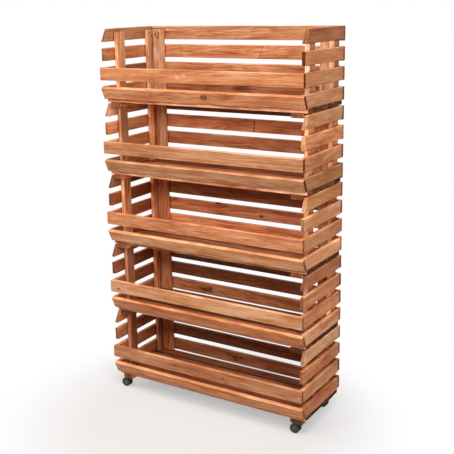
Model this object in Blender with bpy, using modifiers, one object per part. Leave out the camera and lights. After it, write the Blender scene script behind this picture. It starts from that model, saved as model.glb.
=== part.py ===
"""Vegetable rack: open-fronted slatted crates that stack on one another, on four small casters.

Metres, +Z up. The origin is on the floor, under the middle of the rack, and the front faces -Y.
"""
import math

import bmesh
import bpy
from mathutils import Matrix, Vector

# Whole rack
CRATES = 5
RACK_WIDTH = 0.800          # over the outer faces of the side walls
RACK_DEPTH = 0.309          # front of the upper front slat to back of the back slats
SEAT_GAP = 0.0003           # between pieces that rest on one another
JOIN_OVERLAP = 0.0005       # slats and the battens that carry them are one solid, sunk in by this
EDGE_EASE = 0.0010          # sawn corners are eased by this much
CUT_OVERRUN = 0.002         # how far a cutter runs past the face that it cuts

# Slats, all sawn from one stock
SLAT_WIDTH = 0.045
SLAT_THICKNESS = 0.014
SLAT_GAP = 0.0215           # between neighbouring slats of a wall
WALL_SLATS = 4
UPPER_SLANT = 0.024         # how far the top side slats' front ends lean back at their upper corner
LOWER_SLANT = 0.020         # how far the bottom side slats' front ends lean back at their lower corner
UPPER_FRONT_SLAT_ROW = 2    # the row, counted from the top, whose ends carry the upper front slat

# Floor slats run from side to side under the walls
FLOOR_SET_BACK = 0.020      # from the side slats' front ends to the floor's front edge
FLOOR_END_INSET = 0.002     # from the side walls' outer faces
FLOOR_GAP_LEAST = 0.006     # the slats are spread over the floor with at least this between them

# Uprights stand on the floor inside the walls, runners lie under the floor
BATTEN_THICKNESS = 0.0165
SIDE_UPRIGHT_WIDTH = 0.042
BACK_UPRIGHT_WIDTH = 0.047
FRONT_UPRIGHT_SET_BACK = 0.055   # from the side slats' front ends
UPRIGHT_DROP = 0.012        # upright tops below the walls' top edges: the next crate's runners sit here
RUNNER_WIDTH = 0.045
RUNNER_CLEARANCE = 0.0012   # from a runner to the side and back walls of the crate that it nests in

# Casters: a twin wheel that swivels behind a kingpin, on a plate screwed under a runner
CASTER_HEIGHT = 0.0402      # floor to the top of the plate
CASTER_OUTSET = 0.005       # from the runner's middle line outwards
PLATE_SIZE = 0.034
PLATE_THICKNESS = 0.002
PLATE_CORNER_RADIUS = 0.004
PLATE_SET_BACK = 0.0005     # from the runner's end
KINGPIN_RADIUS = 0.0025
KINGPIN_LENGTH = 0.011
RUNNING_GAP = 0.0003        # round a pin in its bore
SWIVEL_GAP = 0.0006         # between the plate and the housing's flange
TRAIL = 0.0145              # from the kingpin back to the axle
HOUSING_THICKNESS = 0.009
HOUSING_RADIUS = 0.0135     # round the axle
BOSS_WIDTH = 0.013          # of the block that holds the kingpin
BOSS_DEPTH = 0.0135         # how far that block reaches below the flange's top
FLANGE_RADIUS = 0.0095
FLANGE_THICKNESS = 0.0016
WHEEL_RADIUS = 0.0175
WHEEL_WIDTH = 0.0070
WHEEL_SIDE_GAP = 0.0006     # between a wheel and the housing
AXLE_RADIUS = 0.0020
AXLE_IN_WHEEL = 0.0045      # how deep the axle sits in each wheel

# Holes for the screws that hold the caster plates
SCREW_PITCH = 0.025         # between the holes of a plate
SCREW_HOLE_RADIUS = 0.0018

# Fineness of round forms
WHEEL_STEPS = 24
PIN_STEPS = 16
HOLE_STEPS = 8
CORNER_STEPS = 3

# Half section of a wheel from the centre of its outer face, over the rim, to its inner face:
# radius as a share of the wheel's radius, height as a share of its width.
WHEEL_PROFILE_SHARES = (
    (0.00, 1.00), (0.60, 0.95), (0.61, 0.84), (0.65, 0.84), (0.66, 0.97),
    (0.90, 0.97), (0.975, 0.90), (1.00, 0.76), (1.00, 0.14), (0.95, 0.00),
)

# Where things lie along the depth
SIDE_FRONT = -RACK_DEPTH / 2 + SLAT_THICKNESS + SEAT_GAP
SIDE_REAR = RACK_DEPTH / 2 - SLAT_THICKNESS - SEAT_GAP
FLOOR_FRONT = SIDE_FRONT + FLOOR_SET_BACK
FLOOR_REAR = SIDE_REAR
WALL_INSIDE = RACK_WIDTH / 2 - SLAT_THICKNESS
BACK_INSIDE = RACK_DEPTH / 2 - SLAT_THICKNESS

# Heights inside one crate, from the underside of its runners
FLOOR_BOTTOM = BATTEN_THICKNESS
FLOOR_TOP = FLOOR_BOTTOM + SLAT_THICKNESS
WALL_BOTTOM = FLOOR_TOP + SEAT_GAP
ROW_PITCH = SLAT_WIDTH + SLAT_GAP
WALL_TOP = WALL_BOTTOM + WALL_SLATS * SLAT_WIDTH + (WALL_SLATS - 1) * SLAT_GAP
UPRIGHT_TOP = WALL_TOP - UPRIGHT_DROP
CRATE_PITCH = UPRIGHT_TOP + SEAT_GAP
FIRST_CRATE_BASE = CASTER_HEIGHT + SEAT_GAP

# Runners and casters
RUNNER_OUTSIDE = WALL_INSIDE - RUNNER_CLEARANCE
RUNNER_MIDDLE = RUNNER_OUTSIDE - RUNNER_WIDTH / 2
RUNNER_REAR = FLOOR_REAR - RUNNER_CLEARANCE
CASTER_SIDE = RUNNER_MIDDLE + CASTER_OUTSET
CASTER_SET_BACK = PLATE_SET_BACK + PLATE_SIZE / 2
WHEEL_INNER_FACE = HOUSING_THICKNESS / 2 + WHEEL_SIDE_GAP
# Seen from the kingpin's origin, on the plate's top face
FLANGE_TOP = -PLATE_THICKNESS - SWIVEL_GAP
AXLE_CENTRE = Vector((-TRAIL, 0, WHEEL_RADIUS - CASTER_HEIGHT))


def clear_scene():
    for obj in list(bpy.data.objects):
        bpy.data.objects.remove(obj)


def new_collection(name):
    collection = bpy.data.collections.new(name)
    bpy.context.scene.collection.children.link(collection)
    return collection


def material(name, color, roughness, metallic=0.0):
    mat = bpy.data.materials.new(name)
    mat.use_nodes = True
    shader = mat.node_tree.nodes["Principled BSDF"]
    shader.inputs["Base Color"].default_value = (*color, 1.0)
    shader.inputs["Roughness"].default_value = roughness
    shader.inputs["Metallic"].default_value = metallic
    mat.diffuse_color = (*color, 1.0)
    return mat


def empty(name, location, collection):
    holder = bpy.data.objects.new(name, None)
    holder.empty_display_size = SLAT_WIDTH
    holder.location = location
    collection.objects.link(holder)
    return holder


def place(name, mesh, mat, collection, parent=None, location=(0, 0, 0)):
    """Put a mesh in the scene as an object; copies of a piece share one mesh."""
    obj = bpy.data.objects.new(name, mesh)
    obj.location = location
    obj.parent = parent
    if mat.name not in mesh.materials:
        mesh.materials.append(mat)
    collection.objects.link(obj)
    return obj


def mesh_from(name, bm, rounded=False):
    """Round pieces are shaded smooth, up to their real corners."""
    mesh = bpy.data.meshes.new(name)
    bmesh.ops.recalc_face_normals(bm, faces=bm.faces)
    bm.to_mesh(mesh)
    bm.free()
    if rounded:
        mesh.shade_smooth()
        mesh.set_sharp_from_angle(angle=math.radians(40))
    return mesh


def ease_edges(obj):
    """Take the sharp corners off sawn wood."""
    bevel = obj.modifiers.new("eased edges", "BEVEL")
    bevel.width = EDGE_EASE
    bevel.segments = 1
    bevel.limit_method = "ANGLE"
    bevel.angle_limit = math.radians(30)


def add_board(bm, low, high):
    """A straight board between two corners. Returns its vertices."""
    low, high = Vector(low), Vector(high)
    size = high - low
    matrix = Matrix.Translation((low + high) / 2) @ Matrix.Diagonal((*size, 1.0))
    return bmesh.ops.create_cube(bm, size=1.0, matrix=matrix)["verts"]


def add_pin(bm, radius, bottom, top, steps, centre=(0, 0)):
    """A round pin along Z."""
    matrix = Matrix.Translation((*centre, (bottom + top) / 2))
    bmesh.ops.create_cone(bm, cap_ends=True, segments=steps, radius1=radius, radius2=radius,
                          depth=top - bottom, matrix=matrix)


def row_top(row):
    """Upper edge of a wall slat, rows counted from the top."""
    return WALL_TOP - row * ROW_PITCH


def side_slats(side):
    """The slats of one side wall; the top and bottom ones have slanted front ends."""
    bm = bmesh.new()
    outer = side * RACK_WIDTH / 2
    inner = side * WALL_INSIDE
    for row in range(WALL_SLATS):
        top = row_top(row)
        verts = add_board(bm, (min(inner, outer), SIDE_FRONT, top - SLAT_WIDTH),
                          (max(inner, outer), SIDE_REAR, top))
        middle = top - SLAT_WIDTH / 2
        for vert in verts:
            if vert.co.y > 0:
                continue
            if row == 0 and vert.co.z > middle:
                vert.co.y += UPPER_SLANT
            if row == WALL_SLATS - 1 and vert.co.z < middle:
                vert.co.y += LOWER_SLANT
    return mesh_from("side_slats", bm)


def side_upright(side, front, seat):
    """A batten inside a side wall, from the floor to just below the wall's top."""
    bm = bmesh.new()
    outer = side * (WALL_INSIDE - seat)
    inner = side * (WALL_INSIDE - SEAT_GAP - BATTEN_THICKNESS)
    add_board(bm, (min(inner, outer), front, FLOOR_TOP + SEAT_GAP),
              (max(inner, outer), front + SIDE_UPRIGHT_WIDTH, UPRIGHT_TOP))
    return mesh_from("side_upright", bm)


def back_slats():
    """Slats across the rear, over the side slats' ends."""
    bm = bmesh.new()
    for row in range(WALL_SLATS):
        top = row_top(row)
        add_board(bm, (-RACK_WIDTH / 2, BACK_INSIDE, top - SLAT_WIDTH),
                  (RACK_WIDTH / 2, RACK_DEPTH / 2, top))
    return mesh_from("back_slats", bm)


def back_uprights():
    """Two battens inside the back wall, each beside a rear side upright."""
    bm = bmesh.new()
    outer = WALL_INSIDE - BATTEN_THICKNESS - 2 * SEAT_GAP
    inner = outer - BACK_UPRIGHT_WIDTH
    for low_x, high_x in ((-outer, -inner), (inner, outer)):
        add_board(bm, (low_x, BACK_INSIDE - BATTEN_THICKNESS, FLOOR_TOP + SEAT_GAP),
                  (high_x, BACK_INSIDE + JOIN_OVERLAP, UPRIGHT_TOP))
    return mesh_from("back_uprights", bm)


def upper_front_slat():
    """One slat stands on edge against the side slats' front ends."""
    bm = bmesh.new()
    top = row_top(UPPER_FRONT_SLAT_ROW)
    add_board(bm, (-RACK_WIDTH / 2, -RACK_DEPTH / 2, top - SLAT_WIDTH),
              (RACK_WIDTH / 2, -RACK_DEPTH / 2 + SLAT_THICKNESS, top))
    return mesh_from("upper_front_slat", bm)


def lower_front_slat():
    """The other front slat leans: it lies on the slanted ends of the bottom side slats."""
    bm = bmesh.new()
    verts = add_board(bm, (-RACK_WIDTH / 2, -SLAT_THICKNESS - SEAT_GAP, -SLAT_WIDTH),
                      (RACK_WIDTH / 2, -SEAT_GAP, 0))
    lean = math.atan2(LOWER_SLANT, SLAT_WIDTH)
    seat_top = Vector((0, SIDE_FRONT, row_top(WALL_SLATS - 1)))
    bmesh.ops.transform(bm, verts=verts,
                        matrix=Matrix.Translation(seat_top) @ Matrix.Rotation(lean, 4, "X"))
    return mesh_from("lower_front_slat", bm)


def floor_slats():
    """Slats spread evenly from the floor's front edge to its rear edge."""
    bm = bmesh.new()
    depth = FLOOR_REAR - FLOOR_FRONT
    count = max(2, int((depth + FLOOR_GAP_LEAST) / (SLAT_WIDTH + FLOOR_GAP_LEAST)))
    pitch = (depth - SLAT_WIDTH) / (count - 1)
    end = RACK_WIDTH / 2 - FLOOR_END_INSET
    for index in range(count):
        front = FLOOR_FRONT + index * pitch
        add_board(bm, (-end, front, FLOOR_BOTTOM), (end, front + SLAT_WIDTH, FLOOR_TOP))
    return mesh_from("floor_slats", bm)


def runners():
    """Two battens under the floor, front to back, that drop inside the crate below."""
    bm = bmesh.new()
    inner = RUNNER_OUTSIDE - RUNNER_WIDTH
    for low_x, high_x in ((-RUNNER_OUTSIDE, -inner), (inner, RUNNER_OUTSIDE)):
        add_board(bm, (low_x, FLOOR_FRONT, 0),
                  (high_x, RUNNER_REAR, BATTEN_THICKNESS + JOIN_OVERLAP))
    return mesh_from("runners", bm)


def caster_centres():
    """Kingpin axes, left front, right front, left rear, right rear."""
    front = FLOOR_FRONT + CASTER_SET_BACK
    rear = RUNNER_REAR - CASTER_SET_BACK
    return [(x, y) for y in (front, rear) for x in (-CASTER_SIDE, CASTER_SIDE)]


def helper(name, mesh, collection, parent=None):
    """A solid that is joined to a part or cut out of it, and isn't a part itself."""
    obj = bpy.data.objects.new(name, mesh)
    obj.parent = parent
    obj.hide_render = True
    obj.display_type = "WIRE"
    collection.objects.link(obj)
    return obj


def boolean(obj, other, operation):
    modifier = obj.modifiers.new(operation.lower(), "BOOLEAN")
    modifier.operation = operation
    modifier.object = other


def caster_plate():
    """A rounded square plate, its top face at the kingpin's origin."""
    bm = bmesh.new()
    half = PLATE_SIZE / 2
    verts = add_board(bm, (-half, -half, -PLATE_THICKNESS), (half, half, 0))
    corners = {edge for vert in verts for edge in vert.link_edges
               if abs(edge.verts[0].co.z - edge.verts[1].co.z) > PLATE_THICKNESS / 2}
    bmesh.ops.bevel(bm, geom=list(corners), offset=PLATE_CORNER_RADIUS, affect="EDGES",
                    segments=CORNER_STEPS, profile=0.5)
    return mesh_from("caster_plate", bm, rounded=True)


def kingpin():
    """The pin that hangs from the plate, sunk into it by half the plate's thickness."""
    bm = bmesh.new()
    add_pin(bm, KINGPIN_RADIUS, -PLATE_THICKNESS - KINGPIN_LENGTH, -PLATE_THICKNESS / 2, PIN_STEPS)
    return mesh_from("kingpin", bm, rounded=True)


def plate_holes():
    bm = bmesh.new()
    reach = SCREW_PITCH / 2
    for x in (-reach, reach):
        for y in (-reach, reach):
            add_pin(bm, SCREW_HOLE_RADIUS, -PLATE_THICKNESS - CUT_OVERRUN, CUT_OVERRUN,
                    HOLE_STEPS, (x, y))
    return mesh_from("plate_holes", bm, rounded=True)


def axle_matrix():
    """From a pin along Z at the origin to the axle, seen from the kingpin's origin."""
    return Matrix.Translation(AXLE_CENTRE) @ Matrix.Rotation(math.pi / 2, 4, "X")


def housing_body():
    """A flat body between the wheels, round at the axle and blocked up to the kingpin."""
    bm = bmesh.new()
    bmesh.ops.create_cone(bm, cap_ends=True, segments=WHEEL_STEPS, radius1=HOUSING_RADIUS,
                          radius2=HOUSING_RADIUS, depth=HOUSING_THICKNESS, matrix=axle_matrix())
    half = HOUSING_THICKNESS / 2
    add_board(bm, (-BOSS_WIDTH / 2, -half, FLANGE_TOP - BOSS_DEPTH),
              (BOSS_WIDTH / 2, half, FLANGE_TOP - FLANGE_THICKNESS / 2))
    hull = bmesh.ops.convex_hull(bm, input=bm.verts)
    spare = {item for key in ("geom_interior", "geom_unused") for item in hull[key]}
    verts = [item for item in spare if isinstance(item, bmesh.types.BMVert)]
    bmesh.ops.delete(bm, geom=verts, context="VERTS")
    bmesh.ops.dissolve_limit(bm, angle_limit=math.radians(1), verts=bm.verts, edges=bm.edges)
    return mesh_from("caster_housing", bm, rounded=True)


def housing_flange():
    """The round bearing flange that turns under the plate."""
    bm = bmesh.new()
    add_pin(bm, FLANGE_RADIUS, FLANGE_TOP - FLANGE_THICKNESS, FLANGE_TOP, WHEEL_STEPS)
    return mesh_from("housing_flange", bm, rounded=True)


def housing_bores():
    """The kingpin's blind bore from above and the axle's bore from side to side."""
    bm = bmesh.new()
    add_pin(bm, KINGPIN_RADIUS + RUNNING_GAP, -PLATE_THICKNESS - KINGPIN_LENGTH - RUNNING_GAP,
            FLANGE_TOP + CUT_OVERRUN, PIN_STEPS)
    radius = AXLE_RADIUS + RUNNING_GAP
    bmesh.ops.create_cone(bm, cap_ends=True, segments=PIN_STEPS, radius1=radius, radius2=radius,
                          depth=HOUSING_THICKNESS + 2 * CUT_OVERRUN, matrix=axle_matrix())
    return mesh_from("housing_bores", bm, rounded=True)


def axle_pin():
    """The steel axle, its ends sunk in the two wheels. Its own Z runs along the axle."""
    bm = bmesh.new()
    half = WHEEL_INNER_FACE + AXLE_IN_WHEEL
    add_pin(bm, AXLE_RADIUS, -half, half, PIN_STEPS)
    return mesh_from("caster_axle", bm, rounded=True)


def wheel():
    """Half section turned about the axle: inner face at zero, hub side up its own Z."""
    bore = AXLE_RADIUS + RUNNING_GAP
    depth = AXLE_IN_WHEEL + RUNNING_GAP
    outline = [(r * WHEEL_RADIUS, h * WHEEL_WIDTH) for r, h in WHEEL_PROFILE_SHARES]
    outline += [(bore, 0), (bore, depth), (0, depth)]
    bm = bmesh.new()
    verts = [bm.verts.new((radius, 0, height)) for radius, height in outline]
    for pair in zip(verts, verts[1:]):
        bm.edges.new(pair)
    mesh = bpy.data.meshes.new("caster_wheel")
    bm.to_mesh(mesh)
    bm.free()
    return mesh


def turn(obj):
    """Turn an object's half section about its own Z."""
    screw = obj.modifiers.new("turned", "SCREW")
    screw.axis = "Z"
    screw.steps = WHEEL_STEPS
    screw.render_steps = WHEEL_STEPS
    screw.use_merge_vertices = True
    screw.merge_threshold = 0.00001
    screw.use_smooth_shade = True


def build_crate(number, base, meshes, parts, helpers, looks):
    """One crate: walls and floor of slats on battens, two front slats and two front uprights."""
    holder = empty(f"crate_{number}_base", (0, 0, base), parts)

    def board(piece, look):
        obj = place(f"crate_{number}_{piece}", meshes[piece], looks[look], parts, holder)
        ease_edges(obj)
        return obj

    def carry(obj, piece):
        batten = helper(f"crate_{number}_{piece}", meshes[piece], helpers, holder)
        ease_edges(batten)
        boolean(obj, batten, "UNION")

    for side in ("left", "right"):
        carry(board(f"side_wall_{side}", "side"), f"rear_upright_{side}")
        board(f"front_upright_{side}", "upright")
    carry(board("back_wall", "back"), "back_uprights")
    carry(board("floor", "floor"), "runners")
    board("upper_front_slat", "front")
    board("lower_front_slat", "front")


def build_crates(parts, helpers, looks):
    """Every crate has the same pieces, so they share their meshes."""
    front = SIDE_FRONT + FRONT_UPRIGHT_SET_BACK
    rear = SIDE_REAR - SIDE_UPRIGHT_WIDTH
    meshes = {
        "side_wall_left": side_slats(-1),
        "side_wall_right": side_slats(1),
        "rear_upright_left": side_upright(-1, rear, -JOIN_OVERLAP),
        "rear_upright_right": side_upright(1, rear, -JOIN_OVERLAP),
        "front_upright_left": side_upright(-1, front, SEAT_GAP),
        "front_upright_right": side_upright(1, front, SEAT_GAP),
        "back_wall": back_slats(),
        "back_uprights": back_uprights(),
        "floor": floor_slats(),
        "runners": runners(),
        "upper_front_slat": upper_front_slat(),
        "lower_front_slat": lower_front_slat(),
    }
    for index in range(CRATES):
        base = FIRST_CRATE_BASE + index * CRATE_PITCH
        build_crate(index + 1, base, meshes, parts, helpers, looks)


def build_caster(name, centre, meshes, parts, helpers, looks):
    """Plate and kingpin, the housing that swivels on it, and an axle with a wheel at each end."""
    swivel = empty(f"{name}_swivel_axis", (*centre, CASTER_HEIGHT), parts)
    plate = place(f"{name}_plate", meshes["plate"], looks["plate"], parts, swivel)
    boolean(plate, helper(f"{name}_kingpin", meshes["kingpin"], helpers, swivel), "UNION")
    boolean(plate, helper(f"{name}_holes", meshes["holes"], helpers, swivel), "DIFFERENCE")
    housing = place(f"{name}_housing", meshes["housing"], looks["housing"], parts, swivel)
    boolean(housing, helper(f"{name}_flange", meshes["flange"], helpers, swivel), "UNION")
    boolean(housing, helper(f"{name}_bores", meshes["bores"], helpers, swivel), "DIFFERENCE")
    axle = place(f"{name}_axle", meshes["axle"], looks["steel"], parts, swivel, AXLE_CENTRE)
    axle.rotation_euler.x = math.pi / 2
    for side, facing in (("front", -1), ("rear", 1)):
        offset = Vector((0, facing * WHEEL_INNER_FACE, 0))
        disc = place(f"{name}_wheel_{side}", meshes["wheel"], looks["wheel"], parts, swivel,
                     AXLE_CENTRE + offset)
        disc.rotation_euler.x = -facing * math.pi / 2
        turn(disc)


def build_casters(parts, helpers, looks):
    meshes = {
        "plate": caster_plate(),
        "kingpin": kingpin(),
        "holes": plate_holes(),
        "housing": housing_body(),
        "flange": housing_flange(),
        "bores": housing_bores(),
        "axle": axle_pin(),
        "wheel": wheel(),
    }
    corners = ("front_left", "front_right", "rear_left", "rear_right")
    for corner, centre in zip(corners, caster_centres()):
        build_caster(f"caster_{corner}", centre, meshes, parts, helpers, looks)


def main():
    clear_scene()
    parts = new_collection("vegetable_rack")
    helpers = new_collection("cutters")
    looks = {
        "front": material("front_wood", (0.60, 0.26, 0.11), 0.55),
        "side": material("side_wood", (0.47, 0.20, 0.09), 0.55),
        "back": material("back_wood", (0.50, 0.20, 0.08), 0.55),
        "upright": material("upright_wood", (0.52, 0.23, 0.10), 0.60),
        "floor": material("floor_wood", (0.42, 0.17, 0.07), 0.60),
        "plate": material("black_plate", (0.02, 0.02, 0.02), 0.45),
        "housing": material("black_plastic", (0.015, 0.015, 0.015), 0.45),
        "wheel": material("wheel_plastic", (0.03, 0.03, 0.03), 0.40),
        "steel": material("zinc_steel", (0.55, 0.55, 0.56), 0.35, 1.0),
    }
    build_crates(parts, helpers, looks)
    build_casters(parts, helpers, looks)


main()
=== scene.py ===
import math
import random
from functools import partial, reduce
from types import SimpleNamespace

import bmesh
import bpy
from mathutils import Matrix, Vector, noise


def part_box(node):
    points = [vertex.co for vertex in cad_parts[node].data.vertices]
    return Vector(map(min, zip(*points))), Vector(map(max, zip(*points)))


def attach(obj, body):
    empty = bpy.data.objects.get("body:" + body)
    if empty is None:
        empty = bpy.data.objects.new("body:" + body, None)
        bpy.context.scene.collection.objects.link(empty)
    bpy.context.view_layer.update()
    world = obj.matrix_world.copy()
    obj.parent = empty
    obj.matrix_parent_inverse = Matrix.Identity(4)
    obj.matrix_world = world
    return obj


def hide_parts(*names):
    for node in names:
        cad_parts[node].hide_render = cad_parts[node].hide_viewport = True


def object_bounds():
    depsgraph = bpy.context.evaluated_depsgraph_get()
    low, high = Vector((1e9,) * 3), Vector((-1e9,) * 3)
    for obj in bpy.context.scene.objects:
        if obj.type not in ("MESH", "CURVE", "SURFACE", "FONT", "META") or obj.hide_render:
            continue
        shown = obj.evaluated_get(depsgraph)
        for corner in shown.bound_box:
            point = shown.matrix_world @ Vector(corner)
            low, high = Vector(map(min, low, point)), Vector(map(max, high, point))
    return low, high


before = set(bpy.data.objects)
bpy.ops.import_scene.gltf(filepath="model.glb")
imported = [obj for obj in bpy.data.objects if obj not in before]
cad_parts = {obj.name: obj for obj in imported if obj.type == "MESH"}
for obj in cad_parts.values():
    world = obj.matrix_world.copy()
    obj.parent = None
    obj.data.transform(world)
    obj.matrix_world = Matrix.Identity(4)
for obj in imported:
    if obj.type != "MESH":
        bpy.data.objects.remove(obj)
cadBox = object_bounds()

mm = 0.001
crateCount = 5
wallRows = 4        # slats in a wall
floorCount = 5      # slats in a floor

# sizes that the frame gives
frontLow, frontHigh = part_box("crate_1_upper_front_slat")
sideLow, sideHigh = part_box("crate_1_side_wall_right")
uprightLow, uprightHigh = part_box("crate_1_front_upright_right")

slatWidth = frontHigh.z - frontLow.z
slatThick = frontHigh.y - frontLow.y
battenThick = uprightHigh.x - uprightLow.x
uprightWidth = uprightHigh.y - uprightLow.y
rowPitch = (sideHigh.z - sideLow.z - slatWidth) / (wallRows - 1)
halfWidth = frontHigh.x
print("frame loaded, slats", round(slatWidth / mm, 1), "x", round(slatThick / mm, 1), "mm")

# Node helpers, used by every material. New nodes fill one column after another.
nodeGrid = SimpleNamespace(
    columnWidth=190,
    rowHeight=160,
    rows=12,
    shaderPlace=(3400, 0),
    outputPlace=(3700, 0),
)


def feed(tree, node, inputs):
    # inputs by name or number, each a value or another node's output
    for key, value in dict(inputs).items():
        if isinstance(value, bpy.types.NodeSocket):
            tree.links.new(value, node.inputs[key])
        else:
            node.inputs[key].default_value = value


def addNode(tree, kind, inputs=(), **settings):
    made = tree.nodes.new(kind)
    column, row = divmod(len(tree.nodes), nodeGrid.rows)
    made.location = (column * nodeGrid.columnWidth, -row * nodeGrid.rowHeight)
    for key, value in settings.items():
        setattr(made, key, value)
    feed(tree, made, inputs)
    return made


def calculate(tree, operation, first, second=0.0, clamp=False):
    inputs = enumerate((first, second))
    return addNode(tree, "ShaderNodeMath", inputs, operation=operation, use_clamp=clamp).outputs[0]


def mathFor(tree):
    # times, plus, minus and over, for one node tree
    return [partial(calculate, tree, operation) for operation in ("MULTIPLY", "ADD", "SUBTRACT", "DIVIDE")]


def remap(tree, value, low, high, toLow=0.0, toHigh=1.0):
    inputs = enumerate((value, low, high, toLow, toHigh))
    return addNode(tree, "ShaderNodeMapRange", inputs, interpolation_type="SMOOTHSTEP").outputs[0]


def blendColours(tree, factor, first, second, mode="MIX"):
    inputs = {"Factor": factor, "A": first, "B": second}
    return addNode(tree, "ShaderNodeMix", inputs, data_type="RGBA", blend_type=mode).outputs["Result"]


def combine(tree, *parts):
    return addNode(tree, "ShaderNodeCombineXYZ", enumerate(parts)).outputs[0]


def noiseAt(tree, place, detail, roughness=0.5, scale=1.0):
    inputs = {"Vector": place, "Scale": scale, "Detail": detail, "Roughness": roughness}
    return addNode(tree, "ShaderNodeTexNoise", inputs).outputs["Fac"]


def readAttribute(tree, name):
    made = addNode(tree, "ShaderNodeAttribute", attribute_name=name)
    return addNode(tree, "ShaderNodeSeparateXYZ", {0: made.outputs["Vector"]}).outputs


def raiseSurface(tree, shader, height, strength, distance):
    bump = addNode(tree, "ShaderNodeBump", {"Strength": strength, "Distance": distance, "Height": height})
    feed(tree, shader, {"Normal": bump.outputs[0]})


def mixShaders(tree, factor, first, second, output):
    mixed = addNode(tree, "ShaderNodeMixShader", enumerate((factor, first.outputs[0], second.outputs[0])))
    feed(tree, tree.nodes[output], {"Surface": mixed.outputs[0]})


def newMaterial(name):
    made = bpy.data.materials.new(name)
    made.use_nodes = True
    tree = made.node_tree
    shader = tree.nodes["Principled BSDF"]
    shader.location = nodeGrid.shaderPlace
    tree.nodes["Material Output"].location = nodeGrid.outputPlace
    return made, tree, shader


# Stained softwood. Every board carries its own grain coordinates, so the rings run through it from face to
# end, and its own stain, knots, wear and painted light and shade.
woodLook = SimpleNamespace(
    dark=(0.235, 0.042, 0.011, 1),
    middle=(0.518, 0.204, 0.079, 1),
    light=(0.740, 0.425, 0.235, 1),
    redTint=(1.0, 0.74, 0.70, 1),
    paleTint=(1.0, 1.28, 1.60, 1),
    # how strongly each part of the figure shows
    ringStrength=0.20,
    streakStrength=0.46,
    blotchStrength=0.50,
    fibreStrength=0.30,
    lineStrength=0.52,
    # noises: repeats to a metre along and across the grain, detail, roughness
    pithNoise=(2.2, 14.0, 3.0, 0.55),
    streakNoise=(2.4, 95.0, 4.0, 0.62),
    blotchNoise=(6.0, 26.0, 3.0, 0.6),
    fibreNoise=(28.0, 800.0, 2.0, 0.5),
    lineNoise=(9.0, 330.0, 2.0, 0.6),
    waveNoise=(10.0, 2.0, 0.55),     # only along the grain
    pithWander=30 * mm,     # how far the heart of the tree wanders beside the board
    ringWidth=4.2 * mm,
    ringRise=(0.35, 0.92),  # where in its width a ring darkens, and where it ends
    ringFall=(0.94, 1.0),
    # painted shade where boards meet: its colour, how far it reaches, where it starts and ends, and its
    # samples
    paintedCornerShade=(0.30, 0.20, 0.15, 1),
    cornerShadeReach=7.0 * mm,
    cornerShadeBand=(0.35, 0.95),
    cornerShadeSamples=8,
    # knots, with distances in knot radii
    knotDark=(0.030, 0.010, 0.005, 1),
    knotHeart=(0.520, 0.230, 0.105, 1),
    knotHalo=(0.62, 0.50, 0.42, 1),
    knotNarrowing=0.62,     # they are longer along the grain
    knotPull=0.30,          # how soon the grain closes again beside one
    haloBand=(1.0, 2.4),
    haloStrength=0.30,
    rimInner=(0.50, 0.85),
    rimOuter=(1.05, 1.30),
    rimStrength=0.85,
    heartEdge=(0.90, 1.05),
    heartRings=3.0,
    # smears, with distances in their half height
    smear=(0.20, 0.13, 0.09, 1),
    smearNarrowing=0.26,
    smearRagged=1.6,
    smearEdge=(0.35, 1.25),
    smearStrength=0.85,
    spikePale=(1.18, 1.30, 1.46, 1),
    spikeDark=(0.34, 0.20, 0.13, 1),
    spikeWander=18 * mm,
    spikeFade=8 * mm,
    spikeLine=(0.6 * mm, 2.6 * mm),
    spikeEnds=(0.55, 1.0),  # shares of its reach
    endDark=(0.20, 0.09, 0.06, 1),
    # paler edges in patches, partly wear and partly a painted highlight
    edgeWearAndHighlight=(1.42, 1.66, 2.00, 1),
    edgeWearAndHighlightPatches=(0.38, 0.62),
    edgeWearAndHighlightStrength=0.8,
    roughness=0.56,
    streakRoughness=0.30,
    endRoughness=0.25,
    ringGloss=0.06,
    gloss=0.12,
    # how far each part of the figure stands out of the surface
    ringRelief=0.35,
    fibreRelief=0.55,
    streakRelief=0.6,
    rimRelief=0.6,
    bump=0.35,
    bumpDepth=0.5 * mm,
)
knotNames = ("knotA", "knotB", "knotC")


def knotField(tree, name, across):
    # distance from the knot's centre in knot radii, and the place across the grain, bent round the knot
    times, plus, minus, over = mathFor(tree)
    along, aside, size = readAttribute(tree, name)
    along = times(along, woodLook.knotNarrowing)
    square = over(plus(times(along, along), times(aside, aside)), times(size, size))
    pull = over(1.0, plus(times(square, woodLook.knotPull), 1.0))
    return calculate(tree, "SQRT", square), minus(across, times(aside, pull))


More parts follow.
